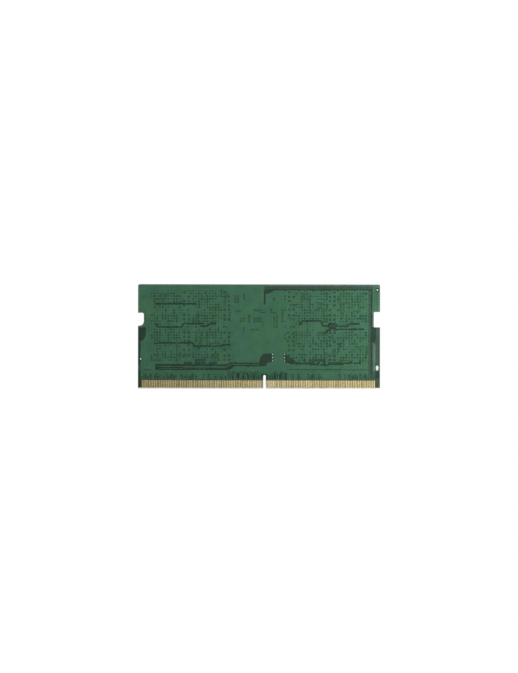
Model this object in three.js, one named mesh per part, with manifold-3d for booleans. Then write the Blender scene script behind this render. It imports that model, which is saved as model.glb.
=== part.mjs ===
// A 262-contact small-outline memory module: a notched and keyed circuit board with gold edge contacts on
// both faces, and eight memory packages, a power controller, a configuration hub and their passives on one.
//
// Frame, in millimetres: +X runs along the board, +Z up its height from the card edge, and +Y out of the
// component face. The origin is the middle of the card edge, on the board's mid-plane. The bare face is -Y.

import * as THREE from "three";
import { mergeVertices } from "three/addons/utils/BufferGeometryUtils.js";
import Module from "manifold-3d";

// ---- driving dimensions ----------------------------------------------------------------------------------

const BOARD = { width: 69.6, height: 30, cornerRadius: 0.5 };
const HALF_WIDTH = BOARD.width / 2;

// Half-thickness of the board at each surface of its stack, from the mid-plane outwards.
const LAMINATE = 0.54; // glass-epoxy laminate
const COPPER = 0.575; // outer copper layer and the edge contacts
const MASK = 0.6; // solder mask: the outside of the board

// The notches for the socket's latches, one in each short side.
// They differ slightly in size and in their fillets.
const LEFT_NOTCH = { middle: 19.9, depth: 1.67, height: 3.75, upperFillet: 0.6, lowerFillet: 1.6 };
const RIGHT_NOTCH = { middle: 19.9, depth: 1.8, height: 4.4, upperFillet: 0.4, lowerFillet: 0.4 };

// The slot that keys the board to its socket, off centre so that the board goes in one way only.
const KEY = { x: 1.6, width: 0.7, depth: 3.9, copperFree: 2 };
const EDGE_CHAMFER = { rise: 0.3, inset: 0.2 };

// Edge contacts: one row on each face, split by the key slot.
const CONTACT = { pitch: 0.5, width: 0.35, bottom: 0.3, maskLine: 2.38, top: 2.63, tie: 0.2 };
const CONTACT_COUNT = { left: 69, right: 62 };
const GAP_AT_KEY = 2.2; // centre to centre, across the key slot
const WINDOW_MARGIN = 0.12; // bare laminate past the outermost contacts

// Outer copper pour.
const POUR = { inset: 0.45, bottom: 3.3, groove: 0.3 };

// Memory packages: two rows of two on each side of the middle.
const PACKAGE = { length: 11, height: 7.5, substrate: 0.22, mould: 0.58 };
const PACKAGE_X = [-25.6, -14, 14.1, 25.8];
const PACKAGE_Z = [24.3, 12.7];
const DIE = { length: 8.4, height: 5.4, thickness: 0.15, clearance: 0.02 };
const BALL = { pitch: 0.8, size: 0.4, height: 0.25, columns: 13, rows: [-3.2, -2.4, -1.6, 1.6, 2.4, 3.2] };
const DIMPLE = { radius: 0.45, depth: 0.04, fromEdge: 1.1, sides: 20 };

const SOLDER = 0.05; // stand-off of a soldered passive
const LABEL = { x: 19.9, z: 18.5, width: 22, height: 13.4, radius: 0.8, thickness: 0.08, glue: 0.01 };

// ---- materials -------------------------------------------------------------------------------------------

function finish(color, roughness, metalness = 0) {
  return new THREE.MeshStandardMaterial({ color, roughness, metalness });
}

const MATERIALS = {
  laminate: finish(0x8f8a5a, 0.7),
  copper: finish(0x3f6a4d, 0.45, 0.2),
  mask: finish(0x2f5f45, 0.4),
  gold: finish(0xbfa268, 0.35, 0.9),
  substrate: finish(0x22352a, 0.55),
  silicon: finish(0x5a6068, 0.2, 0.6),
  mould: finish(0x1b1c1e, 0.6),
  ferrite: finish(0x4a4b4f, 0.55),
  ceramic: finish(0xa58a6a, 0.5),
  resistor: finish(0x1c1c20, 0.4),
  label: finish(0xf0f0ec, 0.5),
};

// ---- solids ----------------------------------------------------------------------------------------------

const wasm = await Module();
wasm.setup();

// How far a cutting tool reaches out from the board's mid-plane, and past the board's edges.
const REACH = 1;

// A closed geometry as a solid that can be cut and joined.
function solidOf(geometry) {
  const bare = geometry.clone();
  bare.deleteAttribute("normal");
  bare.deleteAttribute("uv");
  const merged = mergeVertices(bare);
  return new wasm.Manifold(
    new wasm.Mesh({
      numProp: 3,
      vertProperties: new Float32Array(merged.attributes.position.array),
      triVerts: new Uint32Array(merged.index.array),
    }),
  );
}

function geometryOf(solid) {
  const mesh = solid.getMesh();
  return new THREE.BufferGeometry()
    .setAttribute("position", new THREE.BufferAttribute(mesh.vertProperties, 3))
    .setIndex(new THREE.BufferAttribute(mesh.triVerts, 1))
    .toNonIndexed();
}

function box(x0, x1, y0, y1, z0, z1) {
  return new THREE.BoxGeometry(x1 - x0, y1 - y0, z1 - z0).translate(
    (x0 + x1) / 2,
    (y0 + y1) / 2,
    (z0 + z1) / 2,
  );
}

function cut(geometry, tools) {
  return geometryOf(tools.reduce((solid, tool) => solid.subtract(solidOf(tool)), solidOf(geometry)));
}

function join(first, others) {
  return geometryOf(others.reduce((solid, other) => solid.add(solidOf(other)), solidOf(first)));
}

// A shape drawn in X and Z, as a plate between two values of Y.
function plate(shape, y0, y1) {
  return new THREE.ExtrudeGeometry(shape, { depth: y1 - y0, bevelEnabled: false, curveSegments: 6 })
    .rotateX(Math.PI / 2)
    .translate(0, y1, 0);
}

const group = new THREE.Group();

function add(name, geometry, material, parent = group) {
  geometry.computeVertexNormals();
  const mesh = new THREE.Mesh(geometry, material);
  mesh.name = name;
  parent.add(mesh);
  return mesh;
}

// ---- circuit board ---------------------------------------------------------------------------------------

// One side of the outline, drawn upwards on the right (side 1) or downwards on the left (side -1).
function notchedSide(shape, side, notch, inset) {
  const edge = side * (HALF_WIDTH - inset);
  const wall = side * (HALF_WIDTH - notch.depth - inset);
  const half = notch.height / 2 + inset;
  const corners = [
    { z: notch.middle - half, fillet: notch.lowerFillet },
    { z: notch.middle + half, fillet: notch.upperFillet },
  ];
  const [first, last] = side > 0 ? corners : [...corners].reverse();
  const turn = Math.sign(last.z - first.z);
  shape.lineTo(edge, first.z);
  shape.lineTo(wall + side * first.fillet, first.z);
  shape.quadraticCurveTo(wall, first.z, wall, first.z + turn * first.fillet);
  shape.lineTo(wall, last.z - turn * last.fillet);
  shape.quadraticCurveTo(wall, last.z, wall + side * last.fillet, last.z);
  shape.lineTo(edge, last.z);
}

// The board's outline, or one drawn inside it, starting at the given height.
function outline(inset = 0, bottom = 0) {
  const side = HALF_WIDTH - inset;
  const top = BOARD.height - inset;
  const r = BOARD.cornerRadius;
  const shape = new THREE.Shape();
  shape.moveTo(-side, bottom);
  if (bottom === 0) {
    const half = KEY.width / 2;
    shape.lineTo(KEY.x - half, bottom);
    shape.lineTo(KEY.x - half, KEY.depth - half);
    shape.absarc(KEY.x, KEY.depth - half, half, Math.PI, 0, true);
    shape.lineTo(KEY.x + half, bottom);
  }
  shape.lineTo(side, bottom);
  notchedSide(shape, 1, RIGHT_NOTCH, inset);
  shape.lineTo(side, top - r);
  shape.absarc(side - r, top - r, r, 0, Math.PI / 2, false);
  shape.lineTo(-side + r, top);
  shape.absarc(-side + r, top - r, r, Math.PI / 2, Math.PI, false);
  notchedSide(shape, -1, LEFT_NOTCH, inset);
  shape.closePath();
  return shape;
}

// The wedge that bevels the card edge on one face, so that the board slides into its socket.
function edgeWedge(face) {
  const { rise, inset } = EDGE_CHAMFER;
  const past = 0.5;
  const slope = inset / rise;
  const section = new THREE.Shape([
    new THREE.Vector2(LAMINATE - inset - slope * past, -past),
    new THREE.Vector2(LAMINATE + slope * past, rise + past),
    new THREE.Vector2(LAMINATE + REACH, rise + past),
    new THREE.Vector2(LAMINATE + REACH, -past),
  ]);
  const wedge = new THREE.ExtrudeGeometry(section, { depth: BOARD.width + 2 * REACH, bevelEnabled: false })
    .rotateX(Math.PI / 2)
    .rotateZ(Math.PI / 2)
    .translate(-HALF_WIDTH - REACH, 0, 0);
  return face > 0 ? wedge : wedge.rotateZ(Math.PI);
}

function addLaminate() {
  const core = plate(outline(), -LAMINATE, LAMINATE);
  add("pcb_laminate", cut(core, [edgeWedge(1), edgeWedge(-1)]), MATERIALS.laminate);
}

function contactRange(side) {
  const reach = (CONTACT_COUNT[side] - 1) * CONTACT.pitch;
  return side === "left"
    ? { start: KEY.x - GAP_AT_KEY / 2 - reach, end: KEY.x - GAP_AT_KEY / 2 }
    : { start: KEY.x + GAP_AT_KEY / 2, end: KEY.x + GAP_AT_KEY / 2 + reach };
}

// Solder mask over one face, open over the contacts and clear of the bevel.
function addSolderMask(name, y0, y1) {
  const margin = CONTACT.width / 2 + WINDOW_MARGIN;
  const [from, to] = [contactRange("left").start - margin, contactRange("right").end + margin];
  const window = box(from, to, -REACH, REACH, -REACH, CONTACT.maskLine);
  const past = HALF_WIDTH + REACH;
  const bevel = box(-past, past, -REACH, REACH, -REACH, EDGE_CHAMFER.rise);
  add(name, cut(plate(outline(), y0, y1), [window, bevel]), MATERIALS.mask);
}

// A row of contacts is one comb: the fingers, and the strip under the mask that ties them together.
function addContacts(name, side, y0, y1) {
  const { start, end } = contactRange(side);
  const half = CONTACT.width / 2;
  const comb = new THREE.Shape();
  comb.moveTo(start - half, CONTACT.top);
  for (let i = 0; i < CONTACT_COUNT[side]; i++) {
    const x = start + i * CONTACT.pitch;
    comb.lineTo(x - half, CONTACT.top);
    comb.lineTo(x - half, CONTACT.bottom);
    comb.lineTo(x + half, CONTACT.bottom);
    comb.lineTo(x + half, CONTACT.top);
  }
  comb.lineTo(end + half, CONTACT.top + CONTACT.tie);
  comb.lineTo(start - half, CONTACT.top + CONTACT.tie);
  comb.closePath();
  add(name, plate(comb, y0, y1), MATERIALS.gold);
}

// A groove in the copper along a route of [x, z] points.
function grooveTools(route, width) {
  return route.slice(1).map(([x1, z1], i) => {
    const [x0, z0] = route[i];
    const length = Math.hypot(x1 - x0, z1 - z0) + width;
    return new THREE.BoxGeometry(length, 2 * REACH, width)
      .rotateY(-Math.atan2(z1 - z0, x1 - x0))
      .translate((x0 + x1) / 2, 0, (z0 + z1) / 2);
  });
}

// Where the bare face's copper pour is divided between the circuits under it.
const DIVIDES = [
  [[-30, 24.4], [-18, 24.4]],
  [[-30.1, 18.7], [-28.8, 17.6], [-22.2, 17.6], [-21.2, 18.7], [-15.6, 18.7], [-14.8, 18], [-12.4, 18.8]],
  [[-30.2, 13], [-19, 13], [-18.4, 12.2], [-10.8, 12.2], [-10.2, 12.7], [-8.2, 12.7]],
  [[-30, 6.6], [-9.4, 6.6], [-8.2, 7.4], [1.2, 7.4]],
  [[-30, 5.6], [-9, 5.6], [-7.6, 6.8], [1.2, 6.8]],
  [[11.6, 18.2], [12.4, 19.4], [18, 19.4], [18.6, 18], [25.4, 18], [26, 18.7], [29.2, 18.7]],
  [[18.4, 15.6], [20.4, 17.1], [30.2, 17.1]],
  [[8.8, 7.2], [17, 7.6], [19.6, 6.9], [29, 6.9]],
  [[1.2, 24.4], [1.2, 28.8]],
];

// The divides, a fine gap at the lower right, the wide one round the top and right, and two bare places.
const BACK_GROOVES = [
  ...DIVIDES.map((route) => ({ width: POUR.groove, route })),
  { width: 0.15, route: [[8.4, 5.5], [31.2, 5.5]] },
  { width: 0.8, route: [[1.2, 28.8], [31.9, 28.8], [31.9, 3]] },
  { width: 1.6, route: [[1.6, 8.8], [3.4, 8.8]] },
  { width: 1.6, route: [[7.6, 8.6], [9, 8.2]] },
];

function addCopper(name, y0, y1, grooves) {
  const pour = plate(outline(POUR.inset, POUR.bottom), y0, y1);
  const half = KEY.copperFree / 2;
  const keyRoom = box(KEY.x - half, KEY.x + half, -REACH, REACH, -REACH, KEY.depth + POUR.inset);
  const tools = grooves.flatMap(({ width, route }) => grooveTools(route, width));
  add(name, cut(pour, [keyRoom, ...tools]), MATERIALS.copper);
}

function addBoard() {
  addLaminate();
  addCopper("back_copper_layer", -COPPER, -LAMINATE, BACK_GROOVES);
  addCopper("front_copper_layer", LAMINATE, COPPER, []);
  addSolderMask("back_solder_mask", -MASK, -COPPER);
  addSolderMask("front_solder_mask", COPPER, MASK);
  for (const side of ["left", "right"]) {
    addContacts(`back_contacts_${side}`, side, -COPPER, -LAMINATE);
    addContacts(`front_contacts_${side}`, side, LAMINATE, COPPER);
  }
}

// ---- memory packages -------------------------------------------------------------------------------------

// A position on the component face, for what is soldered there.
function spot(x, z, height = 0) {
  const place = new THREE.Group();
  place.position.set(x, MASK + height, z);
  group.add(place);
  return place;
}

// The package's laminate with its solder balls, which come off the board with it.
function substrateGeometry() {
  const { length, height, substrate } = PACKAGE;
  const base = box(-length / 2, length / 2, BALL.height, BALL.height + substrate, -height / 2, height / 2);
  const half = BALL.size / 2;
  const overlap = 0.02;
  const balls = [];
  for (let column = 0; column < BALL.columns; column++) {
    const x = (column - (BALL.columns - 1) / 2) * BALL.pitch;
    for (const z of BALL.rows) {
      balls.push(box(x - half, x + half, 0, BALL.height + overlap, z - half, z + half));
    }
  }
  return join(base, balls);
}

function dieGeometry(clearance = 0) {
  const x = DIE.length / 2 + clearance;
  const z = DIE.height / 2 + clearance;
  return box(-x, x, -clearance, DIE.thickness + clearance, -z, z);
}

// A shallow round mark that shows where pin 1 is, in the top of a package.
function dimple(length, height, top) {
  const { radius, depth, fromEdge, sides } = DIMPLE;
  return new THREE.CylinderGeometry(radius, radius, 2 * depth, sides).translate(
    length / 2 - fromEdge,
    top,
    height / 2 - fromEdge,
  );
}

// The moulded cap, with the pocket that the die fills and the pin 1 mark.
function mouldGeometry() {
  const { length, height, mould } = PACKAGE;
  const cap = box(-length / 2, length / 2, 0, mould, -height / 2, height / 2);
  return cut(cap, [dieGeometry(DIE.clearance), dimple(length, height, mould)]);
}

function addMemoryPackages() {
  const substrate = substrateGeometry();
  const die = dieGeometry();
  const mould = mouldGeometry();
  let number = 0;
  for (const z of PACKAGE_Z) {
    for (const x of PACKAGE_X) {
      number += 1;
      const place = spot(x, z);
      const stacked = BALL.height + PACKAGE.substrate;
      add(`dram_${number}_substrate`, substrate.clone(), MATERIALS.substrate, place);
      add(`dram_${number}_die`, die.clone(), MATERIALS.silicon, place).position.y = stacked;
      add(`dram_${number}_mould`, mould.clone(), MATERIALS.mould, place).position.y = stacked;
    }
  }
}

// ---- power controller, hub and passives ------------------------------------------------------------------

const PMIC = { x: 0, z: 22.2, length: 4, height: 4, thickness: 0.75 };
const SPD_HUB = { x: 0.4, z: 13, length: 3, height: 2, thickness: 0.75 };
const INDUCTOR = { length: 2.5, height: 2, thickness: 1, corner: 0.15 };
const INDUCTOR_SPOTS = [[-4.9, 25.6], [-4.9, 22.6], [4.9, 25.4]];

const BULK = { length: 1.6, width: 0.8, end: 0.35, waist: 0.03 };
const BULK_SPOTS = [
  [0.2, 25.6, "across"],
  [0.2, 27, "across"],
  [-6.6, 19.4, "up"],
  [-5.2, 19.4, "up"],
  [-3.8, 19.4, "up"],
  [5, 23, "across"],
  [5, 21.6, "across"],
  [5, 20.2, "across"],
];

const DECOUPLING = { length: 1, width: 0.5, end: 0.22, waist: 0.02 };
const DECOUPLING_X = [-28.8, -22.4, -17.2, -10.8, 10.8, 17.2, 22.6, 29];
const DECOUPLING_Z = 18.5;

const ARRAY = { length: 2, width: 0.8, thickness: 0.35, pads: 4, pad: 0.28, padReach: 0.1, padStep: 0.05 };
const ARRAY_X = [-25.6, -14, 14.1, 25.8];
const ARRAY_Z = 6.4;
const FERRITE_BEAD = { x: 0.2, z: 17.4 };

function addLeadlessPackage(name, { x, z, length, height, thickness }) {
  const body = box(-length / 2, length / 2, 0, thickness, -height / 2, height / 2);
  add(name, cut(body, [dimple(length, height, thickness)]), MATERIALS.mould, spot(x, z, SOLDER));
}

// A pressed power inductor: a block with its upright corners taken off.
function inductorGeometry() {
  const { length, height, thickness, corner } = INDUCTOR;
  const [x, z] = [length / 2, height / 2];
  const section = new THREE.Shape([
    new THREE.Vector2(-x + corner, -z),
    new THREE.Vector2(x - corner, -z),
    new THREE.Vector2(x, -z + corner),
    new THREE.Vector2(x, z - corner),
    new THREE.Vector2(x - corner, z),
    new THREE.Vector2(-x + corner, z),
    new THREE.Vector2(-x, z - corner),
    new THREE.Vector2(-x, -z + corner),
  ]);
  return plate(section, 0, thickness);
}

// A two-terminal chip: a ceramic body with a slightly larger cap at each end.
function chipGeometry({ length, width, end, waist }) {
  const [half, side] = [length / 2, width / 2];
  const body = box(-half + end / 2, half - end / 2, waist, width - waist, -side + waist, side - waist);
  const ends = [
    box(-half, -half + end, 0, width, -side, side),
    box(half - end, half, 0, width, -side, side),
  ];
  return join(body, ends);
}

function addChip(name, chip, x, z, lie, material) {
  const mesh = add(name, chipGeometry(chip), material, spot(x, z, SOLDER));
  if (lie === "up") mesh.rotation.y = Math.PI / 2;
}

// Four resistors in one body, with a terminal at both ends of each.
function resistorArrayGeometry() {
  const { length, width, thickness, pads, pad, padReach, padStep } = ARRAY;
  const body = box(-length / 2, length / 2, 0, thickness, -width / 2, width / 2);
  const step = length / pads;
  const reach = width / 2 + padReach;
  const terminals = [];
  for (let i = 0; i < pads; i++) {
    const x = (i - (pads - 1) / 2) * step;
    terminals.push(box(x - pad / 2, x + pad / 2, 0, thickness - padStep, -reach, reach));
  }
  return join(body, terminals);
}

function addSupportParts() {
  addLeadlessPackage("pmic_package", PMIC);
  addLeadlessPackage("spd_hub_package", SPD_HUB);
  INDUCTOR_SPOTS.forEach(([x, z], i) => {
    add(`inductor_${i + 1}`, inductorGeometry(), MATERIALS.ferrite, spot(x, z, SOLDER));
  });
  BULK_SPOTS.forEach(([x, z, lie], i) => {
    addChip(`bulk_capacitor_${i + 1}`, BULK, x, z, lie, MATERIALS.ceramic);
  });
  DECOUPLING_X.forEach((x, i) => {
    addChip(`decoupling_capacitor_${i + 1}`, DECOUPLING, x, DECOUPLING_Z, "across", MATERIALS.ceramic);
  });
  ARRAY_X.forEach((x, i) => {
    add(`resistor_array_${i + 1}`, resistorArrayGeometry(), MATERIALS.resistor, spot(x, ARRAY_Z, SOLDER));
  });
  addChip("ferrite_bead", BULK, FERRITE_BEAD.x, FERRITE_BEAD.z, "across", MATERIALS.ferrite);
}

// ---- label -----------------------------------------------------------------------------------------------

function addLabel() {
  const { x, z, width, height, radius, thickness, glue } = LABEL;
  const [w, h] = [width / 2, height / 2];
  const sheet = new THREE.Shape();
  sheet.absarc(w - radius, h - radius, radius, 0, Math.PI / 2);
  sheet.absarc(-w + radius, h - radius, radius, Math.PI / 2, Math.PI);
  sheet.absarc(-w + radius, -h + radius, radius, Math.PI, 1.5 * Math.PI);
  sheet.absarc(w - radius, -h + radius, radius, 1.5 * Math.PI, 2 * Math.PI);
  const packageTop = BALL.height + PACKAGE.substrate + PACKAGE.mould;
  add("identification_label", plate(sheet, 0, thickness), MATERIALS.label, spot(x, z, packageTop + glue));
}

addBoard();
addMemoryPackages();
addSupportParts();
addLabel();

export default group;
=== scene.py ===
"""The looks of a small-outline memory module, standing on its card edge with its bare face to the camera.

Sizes are in millimetres and become metres where a mesh is made. A point on a face of the board is (x, z),
and a height is measured from the board's mid-plane. The back is the bare face, at -Y, and the front carries
the parts.
"""

import math
import random
from collections import namedtuple

import bmesh
import bpy
from mathutils import Matrix, Vector
from mathutils.geometry import delaunay_2d_cdt


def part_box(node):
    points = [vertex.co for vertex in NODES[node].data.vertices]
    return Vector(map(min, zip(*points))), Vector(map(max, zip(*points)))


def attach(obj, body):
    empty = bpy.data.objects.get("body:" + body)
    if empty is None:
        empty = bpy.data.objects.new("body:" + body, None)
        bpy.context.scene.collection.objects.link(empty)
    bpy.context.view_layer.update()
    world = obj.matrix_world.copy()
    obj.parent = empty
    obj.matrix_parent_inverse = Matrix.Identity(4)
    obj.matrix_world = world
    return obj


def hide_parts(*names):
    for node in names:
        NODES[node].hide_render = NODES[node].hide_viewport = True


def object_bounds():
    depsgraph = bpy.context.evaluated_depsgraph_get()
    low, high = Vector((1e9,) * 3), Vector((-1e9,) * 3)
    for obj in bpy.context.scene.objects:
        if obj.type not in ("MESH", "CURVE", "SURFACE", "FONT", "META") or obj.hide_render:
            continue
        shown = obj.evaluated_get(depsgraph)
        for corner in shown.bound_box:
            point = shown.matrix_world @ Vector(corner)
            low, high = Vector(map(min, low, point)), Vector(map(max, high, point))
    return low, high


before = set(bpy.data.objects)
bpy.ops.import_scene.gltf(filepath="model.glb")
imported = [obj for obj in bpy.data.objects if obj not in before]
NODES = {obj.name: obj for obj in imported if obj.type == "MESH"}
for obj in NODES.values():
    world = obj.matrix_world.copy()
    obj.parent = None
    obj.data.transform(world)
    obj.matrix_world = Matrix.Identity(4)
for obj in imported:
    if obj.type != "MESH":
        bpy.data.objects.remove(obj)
CAD_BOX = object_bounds()

# ---- driving values ----------

MM = 0.001
BACK = -1
FRONT = 1
FACE = {BACK: "back", FRONT: "front"}
ACROSS = 0  # index of the x axis, along the board
UP = 2  # index of the z axis

# Heights of the outer layers above the board's mid-plane.
LAMINATE_TOP = 0.54
MASK_LOW = 0.562  # solder mask on laminate
BORDER_MASK = 0.563  # the same along the board's edge, where light comes in from the side
CORE_MASK = 0.564  # the same where the core holds no copper, so that it looks darker
FINGER_TOP = 0.575
MASK_HIGH = 0.6  # solder mask on copper
SHEET = 0.004  # thickness of the sheets of mask that lie over others
RELIEF_SLOPE = 0.015  # how far the mask spreads at the foot of a copper edge

PITCH = 0.5  # edge contacts
KEY_MIDDLE = 1.6  # x of the slot between the two rows of them
FINGER_WIDTH = 0.35
MASK_LINE = 2.38  # where the contacts go under the mask
TRACK_START = 2.48  # where their tracks stand proud of it
POUR_START = 2.7  # the copper's lower edge, by the contacts

VIA_PITCH = 0.8
VIA_COLUMN = 0.32  # x of one column of the via lattice
VIA_ROW = 0.17  # z of one row of it
VIA_PAD = 0.15
VIA_DIMPLE = 0.07
FIELD_CLEARANCE = 0.31  # round the vias of the packages' via fields
LANE_CLEARANCE = 0.36  # round the vias between the packages
CLUSTER_CLEARANCE = 0.43  # so much that neighbours join
JOINED_VIA = 0.18  # a via that the copper joins, which shows only as a dimple
VIA_SPACING = 0.7  # the least distance between two vias, along the board and up it
CLUSTER_MARGIN = 0.4  # other vias keep this far from a cluster

# How much of each kind of via site is filled.
FIELD_FILLED = 0.9
LANE_FILLED = 0.75
LOOSE_FILLED = 0.4

PACKAGE_COUNT = 8
BALL_COLUMNS = 13
BALL_ROWS = (-3.2, -2.4, -1.6, 1.6, 2.4, 3.2)
BALL_RADII = (0.23, 0.135, 0.23)
PACKAGE_LAMINATE_THICKNESS = 0.22
COVERED_INSET = 0.3  # vias this far in under a package are left out
ROUND = 24  # sides of the circles of the bare marks

SEED = 262

# The camera is far off, as for a product photograph, and looks straight at the bare face.
FRAME_ASPECT = 673 / 518  # the picture's height over its width
PHOTO_WIDTH_SHARE = 0.4672  # share of the frame's width that the board takes
CAMERA_LENS = 120
CAMERA_SENSOR = 36
CAMERA_ROLL = -0.1  # degrees

# How bright the white room is as a light, and as seen in a reflection.
ROOM_LIGHT = 0.45
ROOM_REFLECTION = 0.15

# Soft lights, each aimed at the board: a name, a place and a size in metres, and a power in watts.
LIGHTS = [
    ("softbox", (0.132, -0.585, 0.15), (0.32, 0.3), 0.75),
    ("side_light", (0.12, -0.06, 0.017), (0.03, 0.03), 0.145),
    ("fill_light", (-0.05, -0.06, 0.09), (0.05, 0.05), 0.016),
    ("back_softbox", (-0.2, 0.5, 0.35), (0.4, 0.4), 2.2),
    ("top_light", (0, 0.05, 0.6), (0.3, 0.3), 0.5),
]
AIM = (0, 0, 0.015)
FLOOR_REACH = 6


# ---- outlines ----------

def node_box(node):
    """The lowest and highest corner of a CAD node, in millimetres."""
    low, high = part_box(node)
    return low / MM, high / MM


def area_of(polygon):
    """Signed area: positive where the points run anticlockwise, seen with +X right and +Z up."""
    pairs = zip(polygon, polygon[1:] + polygon[:1])
    return sum(a[0] * b[1] - b[0] * a[1] for a, b in pairs) / 2


def loops_of(node, side):
    """The edges of a CAD node's outer flat face, as closed loops of (x, z) points in millimetres."""
    mesh = NODES[node].data
    points = [v.co / MM for v in mesh.vertices]
    level = max(side * p.y for p in points)
    ahead = set()
    for face in mesh.polygons:
        corners = [points[i] for i in face.vertices]
        if any(abs(side * p.y - level) > 1e-4 for p in corners):
            continue
        flat = [(round(p.x, 4), round(p.z, 4)) for p in corners]
        ahead.update(zip(flat, flat[1:] + flat[:1]))
    border = {a: b for a, b in ahead if (b, a) not in ahead}
    loops = []
    while border:
        start, point = border.popitem()
        loop = [start]
        while point != start:
            loop.append(point)
            point = border.pop(point)
        loops.append(loop)
    return loops


def circle(x, z, radius, sides=10):
    steps = [math.tau * i / sides for i in range(sides)]
    return [(x + radius * math.cos(t), z + radius * math.sin(t)) for t in steps]


def rectangle(x0, x1, z0, z1):
    return [(x0, z0), (x1, z0), (x1, z1), (x0, z1)]


def ribbon(route, width):
    """The outline of a track of even width along a route, with mitred corners."""
    points = [Vector(p) for p in route]
    left, right = [], []
    for i, point in enumerate(points):
        before = (point - points[i - 1]).normalized() if i else None
        after = (points[i + 1] - point).normalized() if i + 1 < len(points) else None
        along = ((before or after) + (after or before)).normalized()
        across = Vector((-along.y, along.x))
        straight = Vector((-(before or after).y, (before or after).x))
        reach = width / 2 / max(0.5, across.dot(straight))
        left.append(tuple(point + across * reach))
        right.append(tuple(point - across * reach))
    return right + left[::-1]


# ---- meshes ----------

def placed(name, data):
    """A new object in the scene."""
    made = bpy.data.objects.new(name, data)
    bpy.context.scene.collection.objects.link(made)
    return made


def piece(name, points, faces, material, replaces=(), smooth=False):
    """Makes an object from points in millimetres. It rides on the board and takes the given material."""
    mesh = bpy.data.meshes.new(name)
    mesh.from_pydata([Vector(p) * MM for p in points], [], faces)
    mesh.materials.append(material)
    if smooth:
        mesh.shade_smooth()
    else:
        mesh.shade_flat()
    mesh.update()
    made = placed(name, mesh)
    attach(made, "root")
    if replaces:
        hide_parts(*replaces)


class Builder:
    """Collects the points and faces of a piece that is made of many bodies."""

    def __init__(self):
        self.points = []
        self.faces = []

    def add(self, points, faces):
        start = len(self.points)
        self.points.extend(points)
        self.faces.extend([[start + i for i in face] for face in faces])

    def add_bmesh(self, body):
        body.verts.index_update()
        self.add([v.co.copy() for v in body.verts], [[v.index for v in f.verts] for f in body.faces])
        body.free()

    def add_box(self, low, high, bevel):
        """A box with all its edges rounded."""
        low, high = Vector(low), Vector(high)
        body = bmesh.new()
        place = Matrix.Translation((low + high) / 2) @ Matrix.Diagonal((*(high - low), 1))
        bmesh.ops.create_cube(body, size=1, matrix=place)
        bmesh.ops.bevel(body, geom=body.edges[:], offset=bevel, segments=2, affect="EDGES", profile=0.5)
        self.add_bmesh(body)

    def add_prism(self, ring, shift):
        """A closed body between a ring of points and the same ring moved by shift."""
        body = bmesh.new()
        base = [body.verts.new(p) for p in ring]
        lid = [body.verts.new(Vector(p) + Vector(shift)) for p in ring]
        body.faces.new(base)
        body.faces.new(lid[::-1])
        for i in range(len(ring)):
            j = (i + 1) % len(ring)
            body.faces.new((base[i], lid[i], lid[j], base[j]))
        bmesh.ops.recalc_face_normals(body, faces=body.faces[:])
        self.add_bmesh(body)

    def piece(self, name, material, slot, replaces=(), smooth=False):
        piece(name, self.points, self.faces, material, replaces, smooth)


def sorted_layers(layers):
    """Triangulates stacked layers of outlines.

    The 1st, 3rd... add material, the 2nd, 4th... take it away, and the last layer over a place decides.
    """
    points, outlines, level_of = [], [], []
    for level, outlines_here in enumerate(layers):
        for outline in outlines_here:
            if area_of(outline) < 0:
                outline = outline[::-1]
            start = len(points)
            points.extend(Vector(p) for p in outline)
            outlines.append(list(range(start, len(points))))
            level_of.append(level)
    flat, _, triangles, _, _, origins = delaunay_2d_cdt(points, [], outlines, 0, 1e-4)
    kept = []
    for triangle, origin in zip(triangles, origins):
        if origin and max(level_of[i] for i in origin) % 2 == 0:
            kept.append(triangle)
    return flat, kept


def relief(layers, side, low, high, slope):
    """A raised sheet on a face of the board, with walls that slope out towards their foot."""
    flat, triangles = sorted_layers(layers)
    edges = {(t[i], t[(i + 1) % 3]) for t in triangles for i in range(3)}
    border = [(a, b) for a, b in edges if (b, a) not in edges]
    outward = {}
    for a, b in sorted(border):
        along = flat[b] - flat[a]
        normal = Vector((along.y, -along.x)).normalized()
        outward[a] = outward.get(a, Vector((0, 0))) + normal
        outward[b] = outward.get(b, Vector((0, 0))) + normal
    used = sorted({i for t in triangles for i in t})
    top = {v: n for n, v in enumerate(used)}
    count = len(used)
    points = [(flat[v].x, side * high, flat[v].y) for v in used]
    for v in used:
        foot = flat[v]
        if v in outward and outward[v].length > 1e-6:
            foot = foot + outward[v].normalized() * slope
        points.append((foot.x, side * low, foot.y))
    faces = [[top[i] for i in t] for t in triangles]
    faces += [[top[i] + count for i in reversed(t)] for t in triangles]
    faces += [[top[b], top[a], top[a] + count, top[b] + count] for a, b in sorted(border)]
    if side == FRONT:
        faces = [face[::-1] for face in faces]
    return points, faces


# ---- materials ----------

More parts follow.
